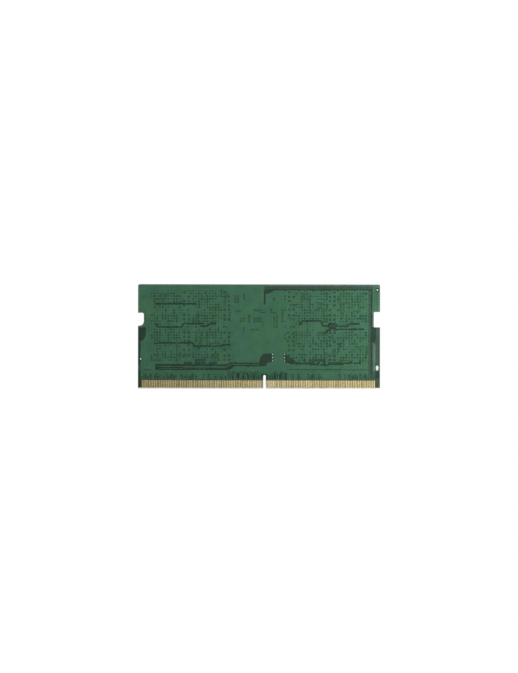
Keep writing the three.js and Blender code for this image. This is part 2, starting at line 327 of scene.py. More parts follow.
class Shader:
    """A material and short ways to add nodes to it. Patterns are in the board's own metres."""

    def __init__(self, name, **settings):
        self.material = bpy.data.materials.new(name)
        self.material.use_nodes = True
        self.tree = self.material.node_tree
        self.surface = self.tree.nodes["Principled BSDF"]
        for socket, value in settings.items():
            self.surface.inputs[socket.replace("_", " ")].default_value = value
        self.place = self.tree.nodes.new("ShaderNodeTexCoord").outputs["Object"]

    def node(self, kind, links=(), **values):
        made = self.tree.nodes.new(kind)
        for key, value in values.items():
            if hasattr(made, key):
                setattr(made, key, value)
            else:
                made.inputs[key.replace("_", " ")].default_value = value
        for source, socket in links:
            self.tree.links.new(source, made.inputs[socket])
        return made

    def moved(self, scale=(1, 1, 1), shift=(0, 0, 0)):
        """The place, stretched by a scale and moved, so that two patterns don't lie on each other."""
        links = [(self.place, "Vector")]
        return self.node("ShaderNodeMapping", links, Scale=scale, Location=shift).outputs["Vector"]

    def noise(self, scale, detail=2.0, place=None):
        links = [(place or self.place, "Vector")]
        return self.node("ShaderNodeTexNoise", links, Scale=scale, Detail=detail).outputs["Fac"]

    def bands(self, direction, period, distortion, place=None):
        """Stripes across a direction, darkest at multiples of a period in metres.

        The texture goes through 20 radians for each metre and unit of its scale.
        """
        made = self.node(
            "ShaderNodeTexWave",
            [(place or self.place, "Vector")],
            bands_direction=direction,
            Scale=math.tau / 20 / period,
            Distortion=distortion,
        )
        return made.outputs["Fac"]

    def distance(self, axis, start=0.0):
        """How far a place is from another along an axis, in metres."""
        apart = self.node("ShaderNodeSeparateXYZ", [(self.place, "Vector")])
        made = self.node("ShaderNodeMath", [(apart.outputs[axis], 0)], operation="SUBTRACT")
        made.inputs[1].default_value = start
        return self.node("ShaderNodeMath", [(made.outputs[0], 0)], operation="ABSOLUTE").outputs[0]

    def within(self, axis, reach, start=0.0, near=1.0, far=0.0):
        """One value or colour near a place on an axis, and another past it. The reach is in mm."""
        inner, outer = reach
        return self.ramp(self.distance(axis, start * MM), [(inner * MM, near), (outer * MM, far)])

    def ramp(self, factor, stops):
        """A colour or value between stops of (position, colour)."""
        made = self.node("ShaderNodeValToRGB", [(factor, "Fac")])
        elements = made.color_ramp.elements
        while len(elements) < len(stops):
            elements.new(0.5)
        for element, (position, colour) in zip(elements, stops):
            element.position = position
            red_green_blue = colour if isinstance(colour, tuple) else (colour, colour, colour)
            element.color = (*red_green_blue, 1)
        return made.outputs["Color"]

    def mix(self, factor, first, second, blend="MIX"):
        """Two colours mixed by a factor, which is a number or another node's output."""
        made = self.tree.nodes.new("ShaderNodeMix")
        made.data_type = "RGBA"
        made.blend_type = blend
        for socket, value in (("Factor_Float", factor), ("A_Color", first), ("B_Color", second)):
            target = next(s for s in made.inputs if s.identifier == socket)
            if isinstance(value, bpy.types.NodeSocket):
                self.tree.links.new(value, target)
            else:
                target.default_value = (*value, 1) if isinstance(value, tuple) else value
        return next(s for s in made.outputs if s.identifier == "Result_Color")

    def times(self, first, second, factor=1.0):
        return self.mix(factor, first, second, "MULTIPLY")

    def colour(self, output):
        self.tree.links.new(output, self.surface.inputs["Base Color"])

    def roughness(self, output):
        self.tree.links.new(output, self.surface.inputs["Roughness"])

    def bump(self, output, strength, distance):
        made = self.node("ShaderNodeBump", [(output, "Height")], Strength=strength, Distance=distance)
        self.tree.links.new(made.outputs["Normal"], self.surface.inputs["Normal"])


def mask_material(name, deep, light, shows_through=0):
    """Green solder mask. On copper, tracks of the layers below stand out faintly, but not by the middle."""
    shader = Shader(name, Metallic=0.0, Specular_IOR_Level=0.2)
    base = shader.ramp(shader.noise(330, 3), [(0.35, deep), (0.65, light)])
    hues = shader.ramp(shader.noise(420, 2, shader.moved(shift=(0.5, 0, 0))), HUES)
    coloured = shader.times(base, hues)
    grain = shader.ramp(shader.noise(2600, 2), [(0.3, 0.9), (0.7, 1.06)])
    coloured = shader.times(coloured, grain)
    if shows_through:
        lattice = shader.moved(shift=(-VIA_COLUMN * MM, 0, -VIA_ROW * MM))
        side_fields = shader.within("X", MIDDLE_REACH, near=0.0, far=shows_through)
        for direction, shift in (("X", 0.4), ("Z", 0.8)):
            bands = shader.bands(direction, VIA_PITCH * MM, 0.4, lattice)
            lines = shader.ramp(bands, [(0.1, 0.86), (0.8, 1.12)])
            clouds = shader.noise(300, 2, shader.moved(shift=(0, 0, shift)))
            patches = shader.ramp(clouds, [(0.42, 0.1), (0.6, 1.0)])
            strength = shader.times(patches, side_fields)
            coloured = shader.times(coloured, lines, strength)
    over_gold = shader.within("Z", GOLD_REACH)
    shader.colour(shader.times(coloured, OVER_GOLD, over_gold))
    shader.roughness(shader.ramp(shader.noise(900, 2), [(0.3, 0.38), (0.7, 0.5)]))
    shader.bump(shader.noise(3800, 2), 0.25, 0.00002)
    return shader.material


def gold_material():
    """Hard gold plating with fine scratches up the contacts, a few of them worn greyer."""
    shader = Shader("gold_plating", Metallic=1.0)
    streaks = shader.noise(1800, 3, shader.moved((1, 1, 0.06)))
    single = shader.noise(1500, 1, shader.moved((1, 1, 0.01)))
    patches = shader.noise(240, 2)
    worn = shader.ramp(patches, [(0.35, (0.53, 0.44, 0.21)), (0.7, (0.58, 0.5, 0.28))])
    scratches = shader.ramp(streaks, [(0.35, 0.0), (0.75, 0.35)])
    scratched = shader.mix(scratches, worn, (0.43, 0.33, 0.16))
    by_contact = shader.ramp(single, [(0.35, 0.76), (0.65, 1.12)])
    shader.colour(shader.times(scratched, by_contact))
    shader.roughness(shader.ramp(streaks, [(0.3, 0.14), (0.7, 0.24)]))
    shader.bump(streaks, 0.2, 0.00001)
    return shader.material


def laminate_material():
    """Glass-epoxy laminate: its face is darkened between the contacts, partly its own tone and partly painted
    shade, is brownish left of the key slot and pale right of it, and is layered where it was cut.

    The sawn edges are tan, and the ground bevel of the card edge is pale.
    """
    shader = Shader("glass_epoxy", Metallic=0.0, Roughness=0.62)
    fibres = shader.noise(5200, 3, shader.moved((1, 0.25, 1)))
    # Painted shade: the face shows between the contacts, and its dark colour is partly the face's own tone
    # and partly shade painted into those gaps.
    face = shader.ramp(fibres, [(0.3, (0.016, 0.013, 0.007)), (0.7, (0.035, 0.03, 0.017))])
    # Beside the key slot the face is brownish on the slot's left and pale on its right.
    left_of_key, right_of_key = (0.13, 0.115, 0.085), (0.6, 0.55, 0.44)
    beside_key = shader.within("X", ACROSS_KEY, near=left_of_key, far=right_of_key)
    face = shader.mix(shader.within("X", BESIDE_KEY_REACH, KEY_MIDDLE), face, beside_key)
    sawn = shader.ramp(fibres, [(0.3, (0.15, 0.135, 0.07)), (0.7, (0.25, 0.225, 0.12))])
    ground = shader.ramp(fibres, [(0.3, (0.56, 0.52, 0.43)), (0.7, (0.77, 0.73, 0.64))])
    cut = shader.mix(shader.within("Z", BEVEL_REACH), sawn, ground)
    layers = shader.ramp(shader.bands("Y", PLY * MM, 0.8), [(0.0, 0.66), (0.25, 1.0)])
    cut = shader.times(cut, layers, 0.6)
    turned = shader.node("ShaderNodeNewGeometry").outputs["True Normal"]
    apart = shader.node("ShaderNodeSeparateXYZ", [(turned, "Vector")])
    flatness = shader.node("ShaderNodeMath", [(apart.outputs["Y"], 0)], operation="ABSOLUTE").outputs[0]
    shader.colour(shader.mix(shader.ramp(flatness, [(0.9, 0.0), (0.97, 1.0)]), cut, face))
    shader.bump(fibres, 0.4, 0.00003)
    return shader.material


def mould_material():
    """Black moulding compound, filled with fine silica."""
    shader = Shader("moulding_compound", Metallic=0.0)
    filler = shader.noise(9000, 2)
    clouds = shader.noise(180, 2)
    base = shader.ramp(filler, [(0.35, (0.012, 0.012, 0.013)), (0.72, (0.035, 0.035, 0.037))])
    shade = shader.ramp(clouds, [(0.3, 0.5), (0.7, 1.0)])
    shader.colour(shader.times(base, shade, 0.35))
    shader.roughness(shader.ramp(clouds, [(0.3, 0.5), (0.7, 0.62)]))
    shader.bump(filler, 0.5, 0.00002)
    return shader.material


def grained_material(name, dark, light, scale, rough, metallic=0.0, depth=0.00002):
    """A surface of one substance with a fine grain, such as ferrite, fired ceramic, tin or paper."""
    shader = Shader(name, Metallic=metallic)
    grain = shader.noise(scale, 3)
    shader.colour(shader.ramp(grain, [(0.3, dark), (0.7, light)]))
    shader.roughness(shader.ramp(grain, [(0.3, rough - 0.07), (0.7, rough + 0.07)]))
    shader.bump(grain, 0.3, depth)
    return shader.material


# How the mask's green shifts towards the upper ends of the contacts.
OVER_GOLD = (1.4, 0.87, 0.85)

# Where a material changes: from the first distance to the second.
GOLD_REACH = (2.6, 3.9)  # up from the card edge
MIDDLE_REACH = (7, 9.5)  # from the board's middle
BESIDE_KEY_REACH = (0.78, 0.84)  # from the middle of the key slot
ACROSS_KEY = (1.5, 1.8)  # from the board's middle, within the slot's width
BEVEL_REACH = (0.34, 0.4)  # up from the card edge
PLY = 0.21  # period of the laminate's layers

# Slight shifts of the mask's green elsewhere, from bluish to yellowish.
HUES = [(0.36, (0.93, 0.99, 1.07)), (0.64, (1.06, 1.01, 0.9))]

MASK_ON_COPPER = mask_material("mask_on_copper", (0.0245, 0.091, 0.047), (0.031, 0.108, 0.058), 0.6)
MASK_ON_LAMINATE = mask_material("mask_on_laminate", (0.021, 0.053, 0.034), (0.028, 0.062, 0.041))
# Painted light: the mask on bare laminate by the board's edge, made paler where light comes in from the side.
LIT_MASK_ON_BORDER = mask_material("lit_mask_on_border", (0.055, 0.098, 0.074), (0.067, 0.112, 0.088))
MASK_ON_CORE = mask_material("mask_on_core", (0.006, 0.024, 0.013), (0.011, 0.034, 0.02))
GOLD = gold_material()
GLASS_EPOXY = laminate_material()
MOULD = mould_material()
PACKAGE_LAMINATE = grained_material("package_laminate", (0.02, 0.05, 0.028), (0.04, 0.08, 0.045), 3000, 0.5)
SILICON = grained_material("polished_silicon", (0.16, 0.17, 0.2), (0.22, 0.24, 0.28), 800, 0.2, 0.8)
TIN = grained_material("tin_solder", (0.6, 0.6, 0.59), (0.78, 0.78, 0.76), 2400, 0.32, 1.0)
DULL_TIN = grained_material("dull_tin", (0.44, 0.52, 0.43), (0.54, 0.64, 0.54), 2400, 0.5, 0.1)
CERAMIC = grained_material("fired_ceramic", (0.26, 0.16, 0.09), (0.4, 0.27, 0.17), 5200, 0.5)
FERRITE = grained_material("pressed_ferrite", (0.04, 0.04, 0.043), (0.09, 0.09, 0.095), 5200, 0.55)
RESISTOR = grained_material("resistor_glaze", (0.01, 0.01, 0.012), (0.02, 0.02, 0.024), 2400, 0.35)
PAPER = grained_material("label_paper", (0.74, 0.74, 0.71), (0.82, 0.82, 0.79), 1400, 0.5, 0.0, 0.00001)


# ---- circuit board ----------

# Gaps that divide the bare face's copper, each as a width and a route.
GAP = 0.45
BACK_GAPS = [
    (GAP, [(-30, 24.4), (-18, 24.4)]),
    (GAP, [(-30.1, 18.7), (-28.8, 17.7), (-22.5, 17.7), (-21.5, 18.8), (-19.4, 18.6), (-15.8, 18.7)]),
    (GAP, [(-17, 18), (-14.8, 18), (-14, 18.8), (-12.3, 18.8)]),
    (GAP, [(-30.3, 12.8), (-29, 13.1), (-19.1, 13.1), (-18.5, 12.1), (-11, 12.2), (-10.2, 12.7),
           (-8.1, 12.7)]),
    (1.7, [(-29.8, 6.2), (-8.9, 6.15), (-7.6, 7)]),
    (0.42, [(-8, 7.28), (1.6, 7.28)]),
    (0.42, [(-7.6, 6.65), (1.4, 6.65)]),
    (0.22, [(-33, 5.4), (-31, 5.4)]),
    (GAP, [(11.5, 18.2), (12.5, 19.5), (17.8, 19.5), (18.3, 18.1), (19.9, 18), (20.4, 18.8),
           (22.3, 18.4)]),
    (GAP, [(22, 18.4), (23, 18), (25.4, 18), (26, 18.7), (29, 18.7)]),
    (GAP, [(18.5, 15.8), (20.7, 17.4), (22.3, 17.1), (30.3, 17.1)]),
    (0.4, [(9, 7.2), (12.9, 7.2), (17.2, 7)]),
    (0.4, [(17.6, 6.9), (19.8, 6.8), (20.3, 7.2), (21, 7.05), (24, 7.05), (24.5, 7.4), (29.1, 7.4),
           (29.1, 8.2)]),
    (0.2, [(8.4, 5.45), (23.9, 5.45)]),
    (0.2, [(24.3, 5.45), (31.4, 5.45)]),
    (GAP, [(1.6, 28.4), (1.6, 24.2)]),
    (0.24, [(-4.3, 27.4), (-4.3, 25.4)]),
    (0.22, [(-4.4, 17.9), (-4.4, 16.1)]),
    (0.24, [(4.35, 20.9), (4.35, 18.9)]),
    (0.24, [(4.35, 18.5), (4.35, 17.3)]),
    (0.2, [(1.1, 19.2), (1.1, 17.6)]),
    (0.16, [(0.3, 21.9), (2, 21.9)]),
    (0.16, [(3.1, 21.8), (5.2, 21.8)]),
    (0.2, [(-6.9, 22.3), (-4.9, 22.3)]),
]

# Tracks that run along inside the widest of those gaps.
LONG_TRACKS = [
    (0.2, [(-29.2, 6.38), (-9.2, 6.33), (-8, 7), (-7, 7)]),
    (0.14, [(-28.6, 5.8), (-22, 5.8), (-21.7, 6.05), (-9.3, 6)]),
]

BELOW_NOTCHES = rectangle(-35, 35, -1, 17.6)
PALE_STRIP = rectangle(32.85, 33.5, 5.2, 12.9)

# Places on the bare face with no copper under the mask.
BARE_PLACES = [
    rectangle(1.5, 32.5, 28.3, 29.6),
    rectangle(31.45, 32.65, 3.2, 29.6),
    [(1.6, 28.4), (1.6, 26.9), (2.4, 27.3), (3.4, 27.6), (4.6, 28.4)],
    [(0, 6.6), (1.9, 6.5), (2.4, 7.4), (3.7, 7.7), (3.7, 10.1), (1.4, 10.1), (0.5, 9.3), (0.1, 7.7)],
    [(7.4, 7.6), (9.2, 7.1), (12.7, 7), (12.6, 7.4), (10.6, 7.8), (9.7, 8.7), (8.5, 9.2), (7.6, 10.1)],
    rectangle(-34.8, -34.05, 0, 17.2),
    [(-34.8, 13.9), (-33.6, 13.6), (-32.6, 15), (-32.5, 17.2), (-32.8, 17.7), (-34.8, 18)],
    rectangle(33.5, 34.8, 0, 17.4),
    [(32.6, 13.6), (33.2, 13), (34.8, 13), (34.8, 17.6), (32.6, 17.6)],
    rectangle(32.6, 33.6, 3.2, 5),
    PALE_STRIP,
]

# The copper's lowest strips, from the contacts up into the pour above them.
STRIP_TOP = 3.4
STRIPS = [(-33.5, 0.5), (2.75, 31.43)]
LOWEST_COPPER = [rectangle(x0, x1, POUR_START, STRIP_TOP) for x0, x1 in STRIPS]

# Places where vias crowd and their openings join, as (x0, x1, z0, z1).
CLUSTERS = [
    (-21.6, -19.3, 5.5, 7.9),
    (-18.5, -15.3, 5.6, 8.4),
    (-14.4, -12.2, 6, 7.4),
    (12.9, 17.3, 6.9, 8.2),
    (17.7, 19.6, 6.7, 8),
    (20, 22.3, 6.6, 7.4),
    (22.6, 24.3, 6.6, 7.6),
    (20, 22.4, 16.7, 18.9),
]

# Where the core under the mask has no copper either, so that the mask looks nearly black.
DARK_PLACES = [
    rectangle(-33.3, 31.43, 2.85, 28.25),
    ribbon([(1.6, 28.44), (32.35, 28.44), (32.35, 2.9)], 0.4),
    ribbon([(1.6, 29), (31.4, 29)], 0.12),
    [(32.4, 17.65), (33.6, 17.65), (33.7, 14.4), (33.1, 13.2), (32.5, 13.6)],
    rectangle(33.5, 34.76, 2.9, 4.9),
    rectangle(-34.76, -33.95, 6.9, 17.6),
    rectangle(-34.76, -33.95, 0.34, 5.1),
    [(-34.2, 13.9), (-33.2, 13.6), (-32.6, 15), (-32.6, 17.2), (-34.2, 17.6)],
    circle(34.05, 28.5, 0.55, ROUND),
]

# How the vias of a memory package on the left stand about its centre: columns from x and rows from z, at the
# via pitch. The packages on the right are laid out in mirror image.
PACKAGE_FIELDS = [
    (-5.2, 4, 1.7, 3),
    (-0.8, 4, 1.7, 3),
    (-5.2, 3, -4.6, 3),
    (-2.4, 3, -3.8, 2),
    (0.6, 3, -4.6, 3),
    (-3.8, 2, -1.2, 2),
    (-1.2, 2, -0.8, 2),
    (1.6, 2, -0.7, 2),
]

# Pairs of bolder vias in the lane at the same side of each package.
LANE_X = (4.1, 5.4)
LANE_Z = (3.4, 2.1, 0.9, -0.3, -1.6, -3.2, -4.4)

# Vias of the power circuits in the middle, in the same form as a package's.
CENTRE_FIELDS = [
    (-1.4, 3, 22.9, 1),
    (-2.8, 1, 19.5, 3),
    (-1.4, 3, 19.2, 2),
    (-2.8, 4, 16.7, 1),
    (-6.6, 2, 24.6, 3),
    (4.3, 1, 25.4, 1),
    (3.4, 1, 22.6, 1),
    (5.4, 1, 17.4, 5),
    (6.8, 1, 19.4, 5),
    (-5.4, 2, 19.4, 2),
]

# Blocks of the lattice with a few more vias, over each half of the board.
LOOSE_FIELDS = [(-30.1, 28, 8.2, 26), (7.5, 28, 8.2, 26)]

FRONT_DARK_PLACES = [rectangle(-33.3, 33.3, 2.5, 28.9)]

FRONT_GAPS = [
    (0.3, [(-7.6, 29.4), (-7.6, 16), (-6.8, 15.2), (-6.8, 9), (-30, 8.3)]),
    (0.3, [(7.7, 29.4), (7.7, 10), (8.6, 8.4), (30, 8.4)]),
    (0.3, [(-7.6, 15.9), (-2.6, 15.9), (-1.8, 15.2), (3.4, 15.2), (4.2, 16), (7.6, 16)]),
    (0.24, [(-33, 17.4), (-8, 17.4)]),
    (0.24, [(8, 19.6), (33, 19.6)]),
    (0.24, [(-3, 28.6), (-3, 20), (2.9, 20), (2.9, 28.6)]),
]


def near(a, b, reach):
    return abs(a[0] - b[0]) < reach and abs(a[1] - b[1]) < reach


def inside(spot, box, margin=0.0):
    x0, x1, z0, z1 = box
    return x0 - margin < spot[0] < x1 + margin and z0 - margin < spot[1] < z1 + margin


def snapped(x, z):
    """The nearest site of the via lattice."""
    column = round((x - VIA_COLUMN) / VIA_PITCH)
    row = round((z - VIA_ROW) / VIA_PITCH)
    return VIA_COLUMN + column * VIA_PITCH, VIA_ROW + row * VIA_PITCH


def via_grid(x, columns, z, rows, chance, draw, mirror=1):
    """Some sites of a block of the via lattice that starts by a place and runs right, or left, and up."""
    x, z = snapped(x, z)
    sites = [(i, j) for i in range(columns) for j in range(rows)]
    spots = [(x + mirror * i * VIA_PITCH, z + j * VIA_PITCH) for i, j in sites]
    return [s for s in spots if draw.random() < chance]


def package_boxes():
    return [node_box(f"dram_{number}_mould") for number in range(1, PACKAGE_COUNT + 1)]


def package_centres():
    """The middles of the memory packages, as (x, z)."""
    return [((low.x + high.x) / 2, (low.z + high.z) / 2) for low, high in package_boxes()]


def package_areas(inset):
    """The board under each memory package, a little in from its edges, in the form of a cluster."""
    return [
        (low.x + inset, high.x - inset, low.z + inset, high.z - inset) for low, high in package_boxes()
    ]


def board_vias(draw):
    """Vias as (x, z, clearance), with a clearance of nothing where the copper joins the via."""
    spots = []
    for cx, cz in package_centres():
        mirror = 1 if cx < 0 else -1
        lane = [(cx + mirror * x, cz + z, LANE_CLEARANCE) for x in LANE_X for z in LANE_Z]
        spots += [via for via in lane if draw.random() < LANE_FILLED]
        for x, columns, z, rows in PACKAGE_FIELDS:
            for spot in via_grid(cx + mirror * x, columns, cz + z, rows, FIELD_FILLED, draw, mirror):
                spots.append((*spot, draw.choice((0, FIELD_CLEARANCE, FIELD_CLEARANCE))))
    for x, columns, z, rows in CENTRE_FIELDS:
        for spot in via_grid(x, columns, z, rows, FIELD_FILLED, draw):
            spots.append((*spot, FIELD_CLEARANCE))
    for x, columns, z, rows in LOOSE_FIELDS:
        for spot in via_grid(x, columns, z, rows, LOOSE_FILLED, draw):
            spots.append((*spot, draw.choice((0, FIELD_CLEARANCE))))
    apart = []
    for via in spots:
        crowded = any(near(via, other, VIA_SPACING) for other in apart)
        if not crowded and not any(inside(via, cluster, CLUSTER_MARGIN) for cluster in CLUSTERS):
            apart.append(via)
    half = VIA_PITCH / 2
    for x0, x1, z0, z1 in CLUSTERS:
        columns, rows = round((x1 - x0) / VIA_PITCH), round((z1 - z0) / VIA_PITCH)
        for spot in via_grid(x0 + half, columns, z0 + half, rows, FIELD_FILLED, draw):
            apart.append((*spot, CLUSTER_CLEARANCE))
    return apart


BUNDLES_PER_PACKAGE = 5
BUNDLE_SLOT = 0.3
BUNDLE_TRACK = 0.12


def track_bundles(draw):
    """Short runs of fine tracks, each in a slot of the copper, by the memory packages."""
    slots, tracks = [], []
    for cx, cz in package_centres():
        for _ in range(BUNDLES_PER_PACKAGE):
            x = cx + VIA_PITCH * (draw.randint(-6, 6) + 0.5)
            z = cz + VIA_PITCH * (draw.randint(-5, 3) + 0.5)
            reach = draw.uniform(1.2, 3)
            bends = draw.choice((0, 0, 0.5))
            upright = draw.random() < 0.6
            bend = (bends, reach / 4 + abs(bends))
            route = [(0, -reach / 2), (0, reach / 4), bend, (bends, reach / 2 + 0.6)]
            route = [(x + a, z + b) if upright else (x + b, z + a) for a, b in route]
            slots.append(ribbon(route, BUNDLE_SLOT))
            tracks.append(ribbon(route, BUNDLE_TRACK))
    return slots, tracks


def contact_rows(side):
    """Each row of contacts on a face: its name, where its fingers stand, and its lower end."""
    rows = []
    for half in ("left", "right"):
        node = f"{FACE[side]}_contacts_{half}"
        low, high = node_box(node)
        count = round((high.x - low.x - FINGER_WIDTH) / PITCH) + 1
        first = low.x + FINGER_WIDTH / 2
        rows.append((node, [first + i * PITCH for i in range(count)], low.z))
    return rows


# A contact's track: its width, that of its clearance, and how far above the copper's edge it bends and ends.
Track = namedtuple("Track", "width clearance bend rise")
DENSE_TRACK = Track(0.28, 0.66, 0.2, 1.5)
USUAL_TRACK = Track(0.15, 0.4, 0.3, 0.55)
JOINED_WIDTH = 0.3
LENGTH_STEP = 0.4  # between the lengths of neighbouring tracks

# How far the tracks of neighbouring contacts lean to a side, where they are close together.
DENSE_LEANS = (0.3, -0.1, 0.35, -0.05, -0.2, -0.55, -0.1)

# How likely a contact's track joins the copper at once.
JOIN_CHANCE = {"dense": 0.05, "sparse": 0.75, "usual": 0.3}


def crowding(x):
    """How close together the tracks are at a place along the board."""
    if -8.5 < x < -0.6 or 4.5 < x < 8:
        return "dense"
    if -17 < x < -8.4 or 7.9 < x < 24:
        return "sparse"
    return "usual"


def fan_out(side, draw):
    """Tracks from the contacts: some join the copper, some lean together, and others run to a via."""
    clearances, tracks, vias = [], [], []
    for _, centres, _ in contact_rows(side):
        for i, x in enumerate(centres):
            start = (x, TRACK_START)
            spacing = crowding(x)
            if draw.random() < JOIN_CHANCE[spacing]:
                tracks.append(ribbon([start, (x, POUR_START + USUAL_TRACK.bend)], JOINED_WIDTH))
                continue
            dense = spacing == "dense"
            kind = DENSE_TRACK if dense else USUAL_TRACK
            lean = DENSE_LEANS[i % len(DENSE_LEANS)] if dense else draw.choice((0, 0, 0.12))
            end = (x + lean, POUR_START + kind.rise + LENGTH_STEP * (i % 3))
            route = [start, (x, POUR_START + kind.bend), end]
            clearances.append(ribbon(route, kind.clearance))
            if not dense or i % 3 != 1:
                tracks.append(ribbon(route, kind.width))
            if not dense:
                vias.append((*end, FIELD_CLEARANCE))
    return clearances, tracks, vias


# A gap wider than the first of these has bulges, so likely, so far off its route and so large.
LEAST_FRAYED = 0.3
BULGE_CHANCE = 0.4
BULGE_DRIFT = 0.15
BULGE_RADIUS = 0.36


def frayed(width, route, draw):
    """A gap with the small bulges where it goes round vias."""
    shapes = [ribbon(route, width)]
    for (x0, z0), (x1, z1) in zip(route, route[1:]):
        length = math.hypot(x1 - x0, z1 - z0)
        for i in range(int(length / VIA_PITCH)):
            if width > LEAST_FRAYED and draw.random() < BULGE_CHANCE:
                along = (i + 0.5) * VIA_PITCH / length
                z = z0 + (z1 - z0) * along + draw.uniform(-BULGE_DRIFT, BULGE_DRIFT)
                shapes.append(circle(x0 + (x1 - x0) * along, z, BULGE_RADIUS, 8))
    return shapes


def copper_relief(side, gaps, bare_places, opened, draw):
    """The mask over one face's copper: a pour divided by gaps, vias in clearances, and the tracks."""
    pour = loops_of("front_copper_layer", FRONT) + LOWEST_COPPER
    clearances, tracks, ends = fan_out(side, draw)
    vias = board_vias(draw)
    vias = [via for via in vias if not any(near(via, end, VIA_SPACING) for end in ends)] + ends
    slots, runs = track_bundles(draw)
    if side == FRONT:
        covered = package_areas(COVERED_INSET)
        vias = [via for via in vias if not any(inside(via, area) for area in covered)]
    cuts = bare_places + clearances + slots + opened
    for width, route in gaps:
        cuts += frayed(width, route, draw)
    cuts += [circle(x, z, clearance or JOINED_VIA) for x, z, clearance in vias]
    ringed = [(x, z) for x, z, clearance in vias if clearance]
    if side == BACK:
        runs += [ribbon(route, width) for width, route in LONG_TRACKS]
    islands = tracks + runs + [circle(x, z, VIA_PAD) for x, z in ringed]
    dimples = [circle(x, z, VIA_DIMPLE, 6) for x, z in ringed]
    layers = [pour, cuts, islands, dimples]
    points, faces = relief(layers, side, CORE_MASK - SHEET, MASK_HIGH, RELIEF_SLOPE)
    name, node = f"{FACE[side]}_mask_on_copper", f"{FACE[side]}_copper_layer"
    piece(name, points, faces, MASK_ON_COPPER, [node])


def mask_on_laminate(side):
    """The mask where it lies straight on the laminate: the same outline as the CAD mask, and lower."""
    node = f"{FACE[side]}_solder_mask"
    mesh = NODES[node].data
    points = [v.co / MM for v in mesh.vertices]
    inner = min(abs(p.y) for p in points)
    for p in points:
        p.y = side * (LAMINATE_TOP if abs(abs(p.y) - inner) < 1e-3 else MASK_LOW)
    faces = [list(f.vertices) for f in mesh.polygons]
    name = f"{FACE[side]}_mask_on_laminate"
    piece(name, points, faces, MASK_ON_LAMINATE, [node])


def mask_sheet(name, side, layers, top, material):
    """A thin sheet of mask over the mask on the laminate."""
    points, faces = relief(layers, side, MASK_LOW - SHEET, top, 0.0)
    piece(f"{FACE[side]}_{name}", points, faces, material)


def mask_on_core(side):
    """The darker mask over the parts of the core that hold no copper."""
    places = DARK_PLACES if side == BACK else FRONT_DARK_PLACES
    mask_sheet("mask_on_core", side, [places, CLEAR_PLACES], CORE_MASK, MASK_ON_CORE)


def lit_mask_on_border(side):
    """The mask past the copper, along the board's edge down to the notches' foot, and in a strip, paler with
    painted light where light comes in through the board's edge.
    """
    board = loops_of(f"{FACE[side]}_solder_mask", side)
    pour = loops_of("front_copper_layer", FRONT)
    layers = [board, pour + [BELOW_NOTCHES], [PALE_STRIP]]
    mask_sheet("lit_mask_on_border", side, layers, BORDER_MASK, LIT_MASK_ON_BORDER)


def add_fingers(side):
    """Each gold contact as its own bevelled plate, with its lower corners taken off."""
    corner, edge, bevel = 0.06, 0.02, 0.012
    half = FINGER_WIDTH / 2
    for node, centres, low in contact_rows(side):
        builder = Builder()
        for x in centres:
            outline = [
                (x - half + corner, low),
                (x + half - corner, low),
                (x + half, low + corner),
                (x + half, MASK_LINE),
                (x - half, MASK_LINE),
                (x - half, low + corner),
            ]
            middle = Vector((x, (low + MASK_LINE) / 2))
            top = [Vector(p) + (middle - Vector(p)).normalized() * edge for p in outline]
            count = len(outline)
            ring = [(p[0], side * LAMINATE_TOP, p[1]) for p in outline]
            shoulder = [(p[0], side * (FINGER_TOP - bevel), p[1]) for p in outline]
            crown = [(p.x, side * FINGER_TOP, p.y) for p in top]
            faces = [[2 * count + i for i in range(count)], list(reversed(range(count)))]
            for lower in (0, count):
                for i in range(count):
                    j = (i + 1) % count
                    faces.append([lower + i, lower + j, lower + count + j, lower + count + i])
            if side == FRONT:
                faces = [face[::-1] for face in faces]
            builder.add(ring + shoulder + crown, faces)
        builder.piece(node.replace("contacts", "fingers"), GOLD, "gold_contacts", [node])


def raised_pads(name, side, outlines):
    """Bare tinned pads with a sloping edge, each given as an outline."""
    builder = Builder()
    for outline in outlines:
        points, faces = relief([[outline]], side, LAMINATE_TOP, TINNED_TOP, TINNED_SLOPE)
        builder.add(points, faces)
    builder.piece(name, DULL_TIN, "tin_solder")


def square(x, z, half):
    return rectangle(x - half, x + half, z - half, z + half)


# The key slot and the notches, which the dark mask stays clear of.
KEY_ROOM = 0.6  # to each side of the slot's middle
CLEAR_PLACES = [
    rectangle(KEY_MIDDLE - KEY_ROOM, KEY_MIDDLE + KEY_ROOM, 0, 4.1),
    rectangle(-35, -32.8, 17.7, 22.1),
    rectangle(32.75, 35, 17.65, 22.2),
]

TEST_PADS = [(x, z) for x in (3.95, 7.34) for z in (9.92, 8.95, 7.98)]
TEST_PAD_HALF = 0.12
TEST_PAD_OPENING = 0.34  # half the width of the opening round one
TINNED_TOP = 0.592
TINNED_SLOPE = 0.02
MARKS = [(34.05, 28.45, 0.22, 0.6), (-34.0, 8.5, 0.2, 0.5)]  # x, z, radius, and that of the opening
OBLONG_MARK = (34.0, 6, 0.38, 0.7)  # x, z, half its width and half its height


